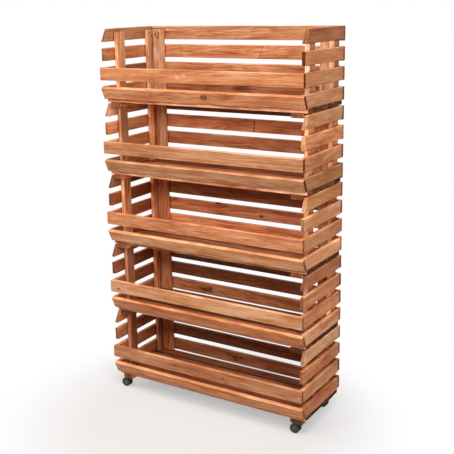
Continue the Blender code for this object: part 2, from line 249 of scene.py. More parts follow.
def stainedWood(name, tone, figure):
    look = woodLook
    made, tree, shader = newMaterial(name)
    times, plus, minus, over = mathFor(tree)
    solve = partial(calculate, tree)
    rising = partial(remap, tree)
    falling = partial(remap, tree, toLow=1.0, toHigh=0.0)
    blend = partial(blendColours, tree)
    multiply = partial(blendColours, tree, mode="MULTIPLY")
    along, across, deep = readAttribute(tree, "grain")
    boardTone, boardRed, boardSeed = readAttribute(tree, "stain")
    edge, endFace, shade = readAttribute(tree, "wearAndPaintedLight")
    waviness, spikeDark, spikeOpening = readAttribute(tree, "figure")

    def centred(value, strength):
        return times(minus(value, 0.5), strength)

    def grainNoise(kind, sideways, through=None):
        alongRate, acrossRate, detail, roughness = kind
        if through is None:
            through = times(deep, acrossRate)
        place = combine(tree, times(along, alongRate), times(sideways, acrossRate), through)
        return noiseAt(tree, place, detail, roughness)

    # the grain wanders sideways along the board, more on some boards, and goes round the knots
    waveRate, *waveFigure = look.waveNoise
    wavePlace = combine(tree, times(along, waveRate), boardSeed, 0.0)
    across = plus(across, centred(noiseAt(tree, wavePlace, *waveFigure), waviness))
    bent, fromKnots = across, []
    for knot in knotNames:
        distance, bent = knotField(tree, knot, bent)
        fromKnots.append(distance)
    nearest = reduce(partial(solve, "MINIMUM"), fromKnots)

    # year rings round a pith that wanders along the board
    wander = grainNoise(look.pithNoise, bent)
    radius = solve("SQRT", plus(times(bent, bent), times(deep, deep)))
    turns = solve("FRACT", over(plus(radius, times(wander, look.pithWander)), look.ringWidth))
    rings = times(rising(turns, *look.ringRise), falling(turns, *look.ringFall))

    # long streaks, soft blotches where the stain soaked in, fine fibres and dark lines
    streaks = grainNoise(look.streakNoise, bent)
    blotches = grainNoise(look.blotchNoise, across, plus(deep, boardSeed))
    fibres = grainNoise(look.fibreNoise, bent)
    lines = grainNoise(look.lineNoise, bent)

    depth = plus(boardTone, tone)
    for value, strength in ((streaks, look.streakStrength * figure), (blotches, look.blotchStrength),
                            (fibres, look.fibreStrength), (lines, look.lineStrength * figure)):
        depth = plus(depth, centred(value, strength * 2))
    depth = minus(depth, times(rings, look.ringStrength * figure), clamp=True)
    ramp = addNode(tree, "ShaderNodeValToRGB", {0: depth})
    stops = ramp.color_ramp.elements
    stops.new(0.5)
    for stop, stain in zip(stops, (look.dark, look.middle, look.light)):
        stop.color = stain
    # some boards are made redder and others paler and yellower
    colour = multiply(boardRed, ramp.outputs[0], look.redTint)
    colour = multiply(times(boardRed, -1.0), colour, look.paleTint)
    # the board's shade: its own tone, with painted shade and painted light on whole boards, narrow sides and
    # long edges
    colour = multiply(1.0, colour, combine(tree, shade, shade, shade))

    # a long smear where the stain ran
    smearU, smearV, smearSize = readAttribute(tree, "smear")
    smearU = times(smearU, look.smearNarrowing)
    reach = solve("SQRT", plus(times(smearU, smearU), times(smearV, smearV)))
    reach = plus(over(reach, smearSize), centred(lines, look.smearRagged))
    smeared = rising(reach, *look.smearEdge, look.smearStrength, 0.0)
    colour = multiply(smeared, colour, look.smear)

    # a spike knot, sawn through lengthwise: two fine dark lines that cross, and pale wood between them
    spikeU, spikeV, spikeReach = readAttribute(tree, "spike")
    farU = solve("ABSOLUTE", plus(spikeU, centred(blotches, look.spikeWander)))
    farV = solve("ABSOLUTE", spikeV)
    between = minus(farU, farV)
    inReach = falling(over(solve("MAXIMUM", farU, farV), spikeReach), *look.spikeEnds)
    pale = times(rising(between, 0.0, look.spikeFade), inReach)
    colour = multiply(pale, colour, look.spikePale)
    fromLine = times(solve("ABSOLUTE", between), spikeOpening)
    crack = times(falling(fromLine, *look.spikeLine), spikeDark)
    colour = multiply(times(crack, inReach), colour, look.spikeDark)

    # knots: a dark rim, a redder heart with its own small rings, and darker grain round them
    halo = times(falling(nearest, *look.haloBand), look.haloStrength)
    colour = multiply(halo, colour, look.knotHalo)
    rim = times(rising(nearest, *look.rimInner), falling(nearest, *look.rimOuter))
    heart = blend(solve("FRACT", times(nearest, look.heartRings)), look.knotHeart, look.knotDark)
    colour = blend(falling(nearest, *look.heartEdge), colour, heart)
    colour = blend(times(rim, look.rimStrength), colour, look.knotDark)

    # end grain soaks up more stain, and rubbed edges are paler, partly from wear and partly as a painted
    # highlight along the edges
    colour = multiply(endFace, colour, look.endDark)
    wornAndHighlit = times(edge, rising(blotches, *look.edgeWearAndHighlightPatches))
    colour = multiply(times(wornAndHighlit, look.edgeWearAndHighlightStrength), colour, look.edgeWearAndHighlight)
    # painted shade: darker where boards meet, by how much nearby boards hide the surface
    corner = addNode(tree, "ShaderNodeAmbientOcclusion", {"Distance": look.cornerShadeReach},
                     samples=look.cornerShadeSamples)
    colour = multiply(falling(corner.outputs["AO"], *look.cornerShadeBand), colour, look.paintedCornerShade)

    rough = plus(centred(streaks, look.streakRoughness), look.roughness)
    rough = plus(rough, times(endFace, look.endRoughness))
    rough = minus(rough, times(rings, look.ringGloss), clamp=True)
    feed(tree, shader, {"Base Color": colour, "Roughness": rough, "Specular IOR Level": look.gloss})

    height = plus(times(rings, look.ringRelief), times(fibres, look.fibreRelief))
    height = plus(height, times(streaks, look.streakRelief))
    height = minus(height, times(rim, look.rimRelief))
    raiseSurface(tree, shader, height, look.bump, look.bumpDepth)
    return made


# the tone moves a board between the dark and the light end of the stain, the figure is how strongly
# its grain shows
woods = {
    "front_wood": stainedWood("front wood", 0.60, 0.85),
    "side_wood": stainedWood("side wood", 0.52, 0.62),
    "back_wood": stainedWood("back wood", 0.54, 1.0),
    "upright_wood": stainedWood("upright wood", 0.58, 1.1),
    "floor_wood": stainedWood("floor wood", 0.42, 1.0),
}
print("wood materials made")

# One board. Lengths in metres; u runs along the grain, v across the width, w through the thickness.
boardShape = SimpleNamespace(
    slack=0.15 * mm,        # how much smaller than its solid each face is kept
    arris=1.7 * mm,         # rounding of the long edges
    leastArris=0.25 * mm,
    arrisWearAndLight=(0.35, 1.0, 1.0, 0.35),    # at the four points of a rounded corner
    edgeBand=2.2 * mm,      # how far the worn edges and their painted highlight and painted shade reach onto the faces
    endRounding=0.9 * mm,
    endBand=1.6 * mm,       # and onto the ends
    endWear=0.8,
    stationGap=0.055,
    # waves along a board: strength, repeats to a metre, and two numbers that keep them apart
    arrisWave=(0.35, 9, 1.7, 0),
    bowWave=(0.3 * mm, 1.6, 2.3, 5),
    sagWave=(0.175 * mm, 1.9, 3.1, 9),
    cup=0.12 * mm,
    ripple=(0.06 * mm, 40, 90),      # depth, repeats to a metre along and across
    pithAside=30 * mm,
    pithDepth=(12 * mm, 55 * mm),
    grainSlope=(0.03, 0.035),
    grainShift=90,
    normalWeight=80,
)

# what every corner point tells the wood material
boardAttributes = ("grain", "stain", "wearAndPaintedLight", "smear", "spike", "figure", *knotNames)

# How pale each kind of board is, how much paler or darker its narrow sides are painted, how much paler or
# darker its upper and its lower long edge are painted, how much stain its ends soaked up, and how red it is.
# The narrow sides and long edges carry painted light and painted shade: paler where light falls on them,
# darker in gaps and corners where shade falls. The upper edge of an upright is its rear or right one.
stainAndLightFields = ("shade", "sawn", "upperEdgePaintedLight", "lowerEdgePaintedShade", "end", "tint")
stainAndLightRows = {
    "front_wood": (0.98, 1.25, 1.32, 0.70, 0.6, 0.0),
    "side_wood": (1.17, 1.10, 1.10, 0.60, 0.6, -0.15),
    "back_wood": (1.00, 1.15, 1.20, 0.60, 0.6, -0.2),
    "upright_wood": (1.25, 1.40, 0.70, 0.95, 0.6, -0.1),
    "floor_wood": (1.0, 1.35, 0.70, 0.80, 0.9, -0.15),
    "innerFloor": (1.0, 0.40, 0.60, 0.50, 0.9, -0.15),
    "runner": (1.1, 1.30, 0.80, 0.90, 0.7, -0.5),
}
stainAndLight = {kind: dict(zip(stainAndLightFields, row)) for kind, row in stainAndLightRows.items()}

# how far boards differ from one another, in tint and shade only those that no table below names
boardDrift = {"tone": (-0.10, 0.10), "tint": (0.1, 0.6), "shade": (0.85, 1.15)}

# Boards that are darker or paler than the others of their kind: partly their own tone, partly painted shade
# where they lie in shadow deep in the crates and painted light where light falls on them. The first number is
# the crate's, as in the tables below.
shadedBoards = {
    0.4: "5.sideLeft3",
    0.5: "1.runnerRight 1.uprightFrontLeft 1.uprightFrontRight 1.uprightRearRight 2.runnerLeft "
         "2.runnerRight 3.sideLeft1 3.sideLeft4",
    0.65: "1.uprightRearLeft 1.floor2 1.back3 2.uprightFrontLeft 2.uprightFrontRight 2.back2 2.back3 "
          "2.sideLeft1 2.sideLeft2 2.sideLeft3 2.floor3 2.floor5 3.sideLeft2 3.uprightRearRight 4.back1 "
          "4.sideLeft4 5.back4 5.sideRight1",
    0.75: "1.frontUpper 1.sideLeft2 1.floor5 2.sideRight1 3.uprightBackRight 4.frontUpper 4.frontLower "
          "4.sideRight4 4.uprightFrontLeft 5.sideLeft1",
    0.9: "1.back4 1.sideLeft3 1.sideRight4 2.frontUpper 3.frontUpper 3.back2 3.sideLeft3 4.floor5 "
         "5.sideLeft2 5.sideRight2 5.sideRight3 5.sideRight4 5.uprightBackLeft 5.uprightRearLeft "
         "5.uprightRearRight",
    1.0: "1.frontLower 1.sideRight2 1.sideRight3 2.frontLower 3.frontLower 3.sideRight1 3.sideRight3 "
         "4.back3 4.sideRight3 5.back1 5.back3 5.frontUpper 5.frontLower 5.uprightBackRight",
    1.1: "1.sideRight1 1.uprightBackLeft 2.back4 2.sideRight2 2.sideRight3 2.uprightBackLeft "
         "3.sideRight2 3.uprightFrontLeft 4.sideRight1 4.uprightBackLeft 5.back2 5.uprightFrontLeft "
         "5.uprightFrontRight",
    1.25: "1.runnerLeft 2.sideRight4 2.uprightRearLeft 3.runnerLeft 3.uprightBackLeft 3.uprightRearLeft "
          "4.sideRight2 4.sideLeft1 4.sideLeft2 4.sideLeft3",
    1.5: "2.uprightRearRight 3.runnerRight 3.back3 3.sideRight4 4.runnerLeft 4.back2 4.floor4 "
         "4.uprightFrontRight 5.floor1",
    1.8: "3.back4 4.floor1 4.uprightRearLeft",
}

# boards that are redder (above nothing) or paler and yellower (below nothing) than the others
tintedBoards = {
    0.9: "1.back4 1.floor2 1.uprightFrontLeft 2.back3 2.sideLeft3 3.sideLeft2 3.sideLeft3 4.back2 "
         "4.back3 5.back4",
    0.6: "1.back3 1.sideLeft3 2.sideLeft2 2.sideRight1 2.uprightFrontLeft 3.back2 3.back3 4.floor5 "
         "5.sideRight1",
    0.0: "1.sideRight3 2.frontUpper 2.sideRight2 2.sideRight3 3.frontLower 3.sideRight2 3.sideRight3 "
         "3.uprightFrontLeft 4.sideRight2 4.sideRight3 5.sideRight4 5.back1 5.sideLeft1",
    -0.4: "1.sideRight1 2.back2 2.sideRight4 4.sideLeft1 4.sideRight1 4.uprightBackLeft "
          "4.uprightFrontLeft",
    -0.6: "3.sideRight4 4.uprightRearLeft 4.uprightFrontRight 5.uprightBackLeft 5.uprightBackRight "
          "5.uprightFrontLeft 5.uprightFrontRight 5.uprightRearLeft 5.uprightRearRight",
    -0.8: "1.floor1 2.floor1 3.floor1 4.floor1 5.floor1",
}

# end grain that soaked up more or less stain than usual
endedBoards = {
    1.0: "5.sideRight2 5.frontUpper 5.frontLower 4.frontUpper 4.frontLower",
    0.7: "5.floor2 5.floor5 4.floor2",
    0.5: "5.floor3 5.floor4 4.floor3 4.floor4",
    0.15: "5.sideRight1 4.sideRight1 4.sideRight2 4.sideRight3 3.sideRight1",
}

# how far the grain wanders sideways, in millimetres
usualWave = 9
wavyBoards = {
    26: "5.uprightBackLeft 5.frontLower 4.back3 4.sideRight3",
    16: "5.back1 4.frontLower 3.frontUpper 2.back4 1.back4 1.uprightBackLeft 3.uprightBackLeft",
}

# Marks on single boards, in millimetres. Knots are (from the board's start, from its middle line, radius).
knottedBoards = {
    "5.frontLower": ((429.8, 4.9, 6.6),),
    "5.uprightBackLeft": ((215, -8, 2.8), (219, 6, 2.8), (204, 1, 3.2)),
    "5.uprightRearLeft": ((219, -9, 2.4), (208, 2, 2.4)),
    "4.sideRight3": ((95, 44, 16.0), (200, -30, 10.0)),
    "3.back2": ((359, 7, 3.0),),
    "3.back3": ((487, -7, 4.2), (300, 29, 9.0)),
    "2.frontUpper": ((37, -5.6, 3.0),),
    "2.back4": ((224, -4, 3.4), (256, 4, 4.2)),
    "1.back4": ((338, 8, 3.2), (392, 4, 3.6), (368, -7, 2.6)),
    "1.frontUpper": ((489, -1, 2.4),),
}
farAway = (9000, 9000, 10)      # no knot or smear

# smears in the same way, with the half height
smearedBoards = {
    "5.back4": (412, 1, 13),
    "4.floor5": (300, 0, 12),
    "2.back4": (238, -3, 10),
    "1.back4": (362, 2, 5),
}

# spike knots: from the board's start, from its middle line, reach, how wide the lines open, their turn
# in degrees, and how dark the lines are
spikedBoards = {
    "5.back2": (488, 0, 34, 0.55, 35, 0.65),
    "5.frontUpper": (345, 4, 26, 0.8, 20, 0.12),
    "4.back2": (459, 0, 34, 0.16, 85, 1.0),
    "4.sideRight2": (150, -6, 26, 0.5, 20, 0.2),
    "1.back2": (330, 0, 30, 0.5, 60, 0.5),
}
noSpike = (*farAway, 1, 0, 0)


def groupValue(groups, board, usual):
    return next((value for value, members in groups.items() if board in members.split()), usual)


def stainAndLightKind(part, slot):
    # runners, and the floor slats behind the front one, whose long edges are painted darker as painted shade
    # in the gaps between them, have their own rows
    if part.startswith("runner"):
        return "runner"
    if part.startswith("floor") and part != "floor1":
        return "innerFloor"
    return slot


def skinRings(bm, rings, materialIndex=0):
    # join neighbouring rings of points with faces; a ring may be a single point
    steps = max(len(ring) for ring in rings)
    for first, second in zip(rings, rings[1:]):
        for i in range(steps):
            j = (i + 1) % steps
            corners = [first[i % len(first)], first[j % len(first)], second[j % len(second)],
                       second[i % len(second)]]
            unique = list(dict.fromkeys(corners))
            if len(unique) > 2:
                bm.faces.new(unique).material_index = materialIndex


def closeEnds(bm, rings):
    bm.faces.new(list(reversed(rings[0])))
    bm.faces.new(rings[-1])


def meshFrom(name, bm):
    mesh = bpy.data.meshes.new(name)
    bmesh.ops.recalc_face_normals(bm, faces=bm.faces)
    bm.to_mesh(mesh)
    bm.free()
    mesh.shade_smooth()
    return mesh


def addPiece(mesh, body, node=None, matrix=Matrix()):
    piece = bpy.data.objects.new(mesh.name, mesh)
    bpy.context.scene.collection.objects.link(piece)
    piece.matrix_world = matrix
    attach(piece, body)
    if node:
        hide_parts(node)
    return piece


def ringPoints(width, thick, radius, inset):
    # cross-section of a board as (v, w, how much of an edge it is, how much of a narrow side)
    w2, t2 = width / 2 - inset, thick / 2 - inset
    r = max(radius - inset, boardShape.leastArris)
    points = []
    for corner, (sv, sw) in enumerate(((1, 1), (-1, 1), (-1, -1), (1, -1))):
        for step, wearAndPaintedLight in enumerate(boardShape.arrisWearAndLight):
            angle = math.radians(90 * corner + 30 * step)
            points.append((sv * (w2 - r) + r * math.cos(angle), sw * (t2 - r) + r * math.sin(angle),
                           wearAndPaintedLight, abs(math.cos(angle))))
        if corner in (0, 2):
            for side in (sv, -sv):
                points.append((side * (w2 - r - boardShape.edgeBand), sw * t2, 0.0, 0.0))
    return points


def boardStations(length):
    # places along a board as (from its start, how far its outline is drawn in, how much of an end it is)
    rounding = boardShape.endRounding
    inner = max(4, round(length / boardShape.stationGap))
    stations = [(0.0, rounding + boardShape.endBand, 1), (0.0, rounding, 1),
                (rounding * 0.3, rounding * 0.3, 0.6), (rounding, 0.0, 0)]
    stations += [(rounding + (length - 2 * rounding) * i / inner, 0.0, 0) for i in range(1, inner)]
    stations += [(length - s, inset, end) for s, inset, end in reversed(stations[:4])]
    return stations


def boardMesh(name, length, size, cuts, seed, finishAndLight):
    shape = boardShape
    rng = random.Random(seed)
    width = size[0] - 2 * shape.slack
    thick = size[1] - 2 * shape.slack
    lowCut, highCut = cuts
    aside, (slopeV, slopeW) = shape.pithAside, shape.grainSlope
    pith = Vector((0, rng.uniform(-aside, aside), rng.choice((-1, 1)) * rng.uniform(*shape.pithDepth)))
    tilt = Vector((0, rng.uniform(-slopeV, slopeV), rng.uniform(-slopeW, slopeW)))
    shift = Vector((rng.uniform(0, shape.grainShift), 0, 0))
    spikeU, spikeV, spikeReach, opening, spikeTurn, spikeDark = finishAndLight["spike"]
    turnCos, turnSin = math.cos(math.radians(spikeTurn)), math.sin(math.radians(spikeTurn))
    rippleDepth, rippleAlong, rippleAcross = shape.ripple

    def wave(kind, s):
        strength, rate, step, offset = kind
        return strength * noise.noise(Vector((s * rate, seed * step, offset)))

    bm = bmesh.new()
    layers = {attribute: bm.verts.layers.float_vector.new(attribute) for attribute in boardAttributes}
    rings = []
    for s, inset, end in boardStations(length):
        radius = shape.arris * (1 + wave(shape.arrisWave, s))
        bowV, bowW = wave(shape.bowWave, s), wave(shape.sagWave, s)
        ring = []
        for v, w, edge, sawn in ringPoints(width, thick, radius, inset):
            share = (v + size[0] / 2) / size[0]
            cut = lowCut + (highCut - lowCut) * share
            u = cut + s * (length - cut) / length
            cupped = shape.cup * (1 - (2 * v / width) ** 2) * noise.noise(Vector((seed, s, 3)))
            ripplePlace = Vector((u * rippleAlong, v * rippleAcross, w * rippleAcross + seed))
            ripple = rippleDepth * noise.noise(ripplePlace)
            vert = bm.verts.new((u - length / 2, v + bowV, w + bowW + cupped + ripple))
            vert[layers["grain"]] = Vector((u, v, w)) + pith + tilt * (u - length / 2) + shift
            vert[layers["stain"]] = (finishAndLight["tone"], finishAndLight["tint"], seed * 0.37)
            innerCap = inset > shape.endRounding
            # painted light and painted shade: narrow sides and long edges made paler or darker by kind of
            # board
            sawnShade = 1 + (finishAndLight["sawn"] - 1) * sawn ** 4
            edgePaintedLight = 1 + (finishAndLight["upperEdgePaintedLight" if v > 0 else "lowerEdgePaintedShade"] - 1) * edge
            vert[layers["wearAndPaintedLight"]] = (0.0 if innerCap else max(edge, shape.endWear if end else 0.0),
                                    finishAndLight["end"] if end == 1 else 0.0,
                                    finishAndLight["shade"] * sawnShade * edgePaintedLight)
            for attribute, mark in zip(("smear", *knotNames), finishAndLight["marks"]):
                vert[layers[attribute]] = (u - mark[0], v - mark[1], mark[2])
            besideU, besideV = u - spikeU * mm, v - spikeV * mm
            vert[layers["spike"]] = (besideU * turnCos + besideV * turnSin,
                                     (besideV * turnCos - besideU * turnSin) / opening, spikeReach * mm)
            vert[layers["figure"]] = (finishAndLight["wave"], spikeDark, opening)
            ring.append(vert)
        rings.append(ring)
    skinRings(bm, rings)
    closeEnds(bm, rings)
    return meshFrom(name, bm)


boards = []


def addBoard(crate, part, slot, node, centre, along, across, length, size, cuts=(0, 0)):
    # a board round its centre, its grain along the first direction
    board = f"{crate}.{part}"
    seed = len(boards) + 11
    rng = random.Random(seed)
    depth = stainAndLight[stainAndLightKind(part, slot)]
    knots = (list(knottedBoards.get(board, ())) + [farAway] * len(knotNames))[:len(knotNames)]
    # stain, tint and end grain of the board, and the painted light and painted shade on its narrow sides and
    # long edges
    finishAndLight = dict(
        depth,
        tone=rng.uniform(*boardDrift["tone"]),
        tint=groupValue(tintedBoards, board, rng.uniform(*boardDrift["tint"])) + depth["tint"],
        shade=groupValue(shadedBoards, board, rng.uniform(*boardDrift["shade"])) * depth["shade"],
        end=groupValue(endedBoards, board, depth["end"]),
        marks=[Vector(mark) * mm for mark in (smearedBoards.get(board, farAway), *knots)],
        spike=spikedBoards.get(board, noSpike),
        wave=groupValue(wavyBoards, board, usualWave) * mm,
    )
    mesh = boardMesh(f"crate{board}", length, size, cuts, seed, finishAndLight)
    mesh.materials.append(woods[slot])
    turn = Matrix((along, across, along.cross(across))).transposed().to_4x4()
    piece = addPiece(mesh, f"crate_{crate}", node, Matrix.Translation(centre) @ turn)
    piece.modifiers.new("flat faces", "WEIGHTED_NORMAL").weight = boardShape.normalWeight
    boards.append(piece)


xAxis, yAxis, zAxis = Vector((1, 0, 0)), Vector((0, 1, 0)), Vector((0, 0, 1))
sides = (("Left", -1), ("Right", 1))

crateShape = SimpleNamespace(
    upperCut=24 * mm,       # the top side slats' front ends lean back this far at the top
    lowerCut=20 * mm,       # and the bottom ones' this far at the bottom
    backUprightWidth=47 * mm,
    runnerClearance=1.2 * mm,
    seat=0.3 * mm,
)
slatSize = (slatWidth, slatThick)
runnerMiddle = halfWidth - slatThick - crateShape.runnerClearance - slatWidth / 2
backUprightMiddle = uprightLow.x - crateShape.seat - crateShape.backUprightWidth / 2


def wallHeights(crate):
    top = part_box(f"crate_{crate}_side_wall_right")[1].z
    return [top - row * rowPitch - slatWidth / 2 for row in range(wallRows)]


def floorMiddles(low, high):
    pitch = (high.y - low.y - slatWidth) / (floorCount - 1)
    return [low.y + slatWidth / 2 + index * pitch for index in range(floorCount)]


def leaningSeat(crate):
    # the turn of the lower front slat, and the top of the slanted ends that it leans on
    turn = Matrix.Rotation(math.atan2(crateShape.lowerCut, slatWidth), 3, "X")
    return turn, Vector((0, sideLow.y, wallHeights(crate)[-1] + slatWidth / 2))


def sideWalls(crate):
    cuts = {0: (0, crateShape.upperCut), wallRows - 1: (crateShape.lowerCut, 0)}
    for side, sign in sides:
        node = f"crate_{crate}_side_wall_{side.lower()}"
        low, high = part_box(node)
        for row, z in enumerate(wallHeights(crate)):
            centre = Vector((sign * (halfWidth - slatThick / 2), (low.y + high.y) / 2, z))
            addBoard(crate, f"side{side}{row + 1}", "side_wood", node, centre, yAxis, zAxis,
                     high.y - low.y, slatSize, cuts.get(row, (0, 0)))


def sideUprights(crate):
    for side, _ in sides:
        frontNode = f"crate_{crate}_front_upright_{side.lower()}"
        wallNode = f"crate_{crate}_side_wall_{side.lower()}"
        low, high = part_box(frontNode)
        middle = (low + high) / 2
        for place, node in (("Front", frontNode), ("Rear", wallNode)):
            addBoard(crate, f"upright{place}{side}", "upright_wood", node, middle, zAxis, yAxis,
                     high.z - low.z, (uprightWidth, battenThick))
            middle.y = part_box(wallNode)[1].y - uprightWidth / 2


# Back slats are sawn and set by hand: how far the lower and the upper edge stand above the usual place,
# in millimetres, counted from the top slat of the crate
backEdges = {
    5: ((-4.0, 0.0), (-3.0, 0.0), (0.0, 1.0), (0.0, 0.0)),
    4: ((-2.5, 0.0), (-2.0, 1.0), (1.0, 2.0), (-4.0, 4.0)),
    3: ((-4.0, 0.0), (1.5, 3.5), (2.5, 4.5), (0.0, 5.0)),
    2: ((0.0, 0.0), (1.0, 0.0), (2.0, 3.5), (3.0, 4.5)),
    1: ((0.0, 0.0), (5.0, 0.0), (4.0, 4.0), (3.5, 5.0)),
}


def backWall(crate):
    node = f"crate_{crate}_back_wall"
    low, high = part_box(node)
    for row, z in enumerate(wallHeights(crate)):
        lower, upper = (edge * mm for edge in backEdges[crate][row])
        centre = Vector((0, high.y - slatThick / 2, z + (lower + upper) / 2))
        addBoard(crate, f"back{row + 1}", "back_wood", node, centre, xAxis, zAxis, 2 * halfWidth,
                 (slatWidth + upper - lower, slatThick))
    bottom, top = (corner.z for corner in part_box(f"crate_{crate}_front_upright_right"))
    for side, sign in sides:
        centre = Vector((sign * backUprightMiddle, (low.y + high.y - slatThick) / 2, (bottom + top) / 2))
        addBoard(crate, f"uprightBack{side}", "upright_wood", node, centre, zAxis, xAxis, top - bottom,
                 (crateShape.backUprightWidth, battenThick))


def frontSlats(crate):
    node = f"crate_{crate}_upper_front_slat"
    low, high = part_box(node)
    addBoard(crate, "frontUpper", "front_wood", node, (low + high) / 2, xAxis, zAxis, 2 * halfWidth, slatSize)
    # the lower one leans on the slanted ends of the bottom side slats
    turn, seatTop = leaningSeat(crate)
    centre = seatTop + turn @ Vector((0, -slatThick / 2 - crateShape.seat, -slatWidth / 2))
    addBoard(crate, "frontLower", "front_wood", f"crate_{crate}_lower_front_slat", centre, xAxis,
             turn @ zAxis, 2 * halfWidth, slatSize)


def crateFloor(crate):
    node = f"crate_{crate}_floor"
    low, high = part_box(node)
    for index, y in enumerate(floorMiddles(low, high)):
        addBoard(crate, f"floor{index + 1}", "floor_wood", node, Vector((0, y, high.z - slatThick / 2)),
                 xAxis, yAxis, high.x - low.x, slatSize)
    length = high.y - crateShape.runnerClearance - low.y
    thick = high.z - slatThick - low.z
    for side, sign in sides:
        centre = Vector((sign * runnerMiddle, low.y + length / 2, low.z + thick / 2))
        addBoard(crate, f"runner{side}", "floor_wood", node, centre, yAxis, xAxis, length, (slatWidth, thick))


for crate in range(1, crateCount + 1):
    for makePart in (sideWalls, sideUprights, backWall, frontSlats, crateFloor):
        makePart(crate)
    print("crate", crate, "made,", len(boards), "boards so far")


# Metals and plastics of the fixings and casters
def surfaceNoise(tree, scale, detail, stretch=1):
    place = addNode(tree, "ShaderNodeTexCoord").outputs["Object"]
    mapped = addNode(tree, "ShaderNodeMapping", {"Vector": place, "Scale": (1, 1, stretch)})
    return noiseAt(tree, mapped.outputs[0], detail, scale=scale)


finishLook = SimpleNamespace(
    patchDetail=3.0,
    patchBand=(0.35, 0.70),
    fineDetail=2.0,
    fineBand=(0.2, 0.8),
    roughDrift=(-0.08, 0.10),
    bumpDepth=0.05 * mm,
)


def plainFinish(name, first, second, patchScale, fineScale, rough, metal, bump, stretch):
    # one colour broken up by a second one, with its own gloss and a fine surface
    look = finishLook
    made, tree, shader = newMaterial(name)
    patches = remap(tree, surfaceNoise(tree, patchScale, look.patchDetail), *look.patchBand)
    colour = blendColours(tree, patches, (*first, 1), (*second, 1))
    fine = surfaceNoise(tree, fineScale, look.fineDetail, stretch)
    roughness = remap(tree, fine, *look.fineBand, *(rough + drift for drift in look.roughDrift))
    feed(tree, shader, {"Base Color": colour, "Roughness": roughness, "Metallic": metal})
    raiseSurface(tree, shader, fine, bump, look.bumpDepth)
    return made


# two colours, scales of their patches and of the fine surface, roughness, metal, bump, and how much
# finer the surface is along its own height
finishes = {
    "brightNail": ((0.95, 0.80, 0.66), (0.80, 0.64, 0.50), 300, 1400, 0.30, 1.0, 0.3, 1),
    "dullNail": ((0.26, 0.18, 0.14), (0.12, 0.075, 0.055), 400, 1600, 0.48, 0.8, 0.4, 1),
    "blackPaint": ((0.014, 0.014, 0.015), (0.026, 0.025, 0.024), 160, 1800, 0.42, 0.0, 0.25, 1),
    "blackPlastic": ((0.012, 0.012, 0.013), (0.022, 0.022, 0.022), 120, 2600, 0.40, 0.0, 0.3, 1),
    "treadPlastic": ((0.006, 0.006, 0.006), (0.012, 0.012, 0.012), 260, 2000, 0.52, 0.0, 0.5, 1),
    "hubPlastic": ((0.046, 0.044, 0.038), (0.064, 0.060, 0.052), 180, 2400, 0.36, 0.0, 0.3, 1),
    "zincSteel": ((0.60, 0.60, 0.60), (0.48, 0.48, 0.47), 300, 900, 0.32, 1.0, 0.2, 12),
}
metals = {name: plainFinish(name, *row) for name, row in finishes.items()}


def finishPiece(name, bm, body, materials, node=None, sharp=35):
    mesh = meshFrom(name, bm)
    mesh.set_sharp_from_angle(angle=math.radians(sharp))
    for used in materials:
        mesh.materials.append(metals[used])
    addPiece(mesh, body, node)


def circle(steps):
    return [2 * math.pi * i / steps for i in range(steps)]


def lathe(bm, profile, steps, matrix, materialIndex=0):
    # turn (radius, height) points about the matrix's own Z; a radius of zero closes the form
    rings = []
    for radius, height in profile:
        angles = circle(steps) if radius else (0.0,)
        rings.append([bm.verts.new(matrix @ Vector((radius * math.cos(a), radius * math.sin(a), height)))
                      for a in angles])
    skinRings(bm, rings, materialIndex)


# Nails: one bright broad head at each end of a front slat, two small dull ones at every other crossing
nailLook = SimpleNamespace(
    brightRadius=2.2 * mm,
    dullRadius=1.3 * mm,
    brightUpper=(1,),       # crates whose upper front slat has bright heads as well
    proud=0.45 * mm,
    dome=((0, 0), (0.45, -0.05), (0.8, -0.28), (0.97, -0.6), (1, -1), (0.98, -2.2)),
    endInset=10.5 * mm,     # from a front slat's end
    below=3.0 * mm,         # under the middle of a front slat
    sideReach=7 * mm,       # half a pair's width on the side uprights
    wideReach=9 * mm,       # and on the wider back uprights and runners
    pairShare=0.24,         # how far a pair stands from the slat's middle, as a share of its width
    wander=1.3 * mm,        # hand driven
    endWander=0.4,          # share of it along an upper front slat
    steps=14,
)


def nailHead(bm, point, normal, radius, materialIndex):
    # a low dome whose top is level with the solid's own face
    turn = Vector(normal).to_track_quat("Z", "Y").to_matrix().to_4x4()
    dome = [(radius * across, nailLook.proud * rise) for across, rise in nailLook.dome]
    lathe(bm, dome, nailLook.steps, Matrix.Translation(point) @ turn, materialIndex)


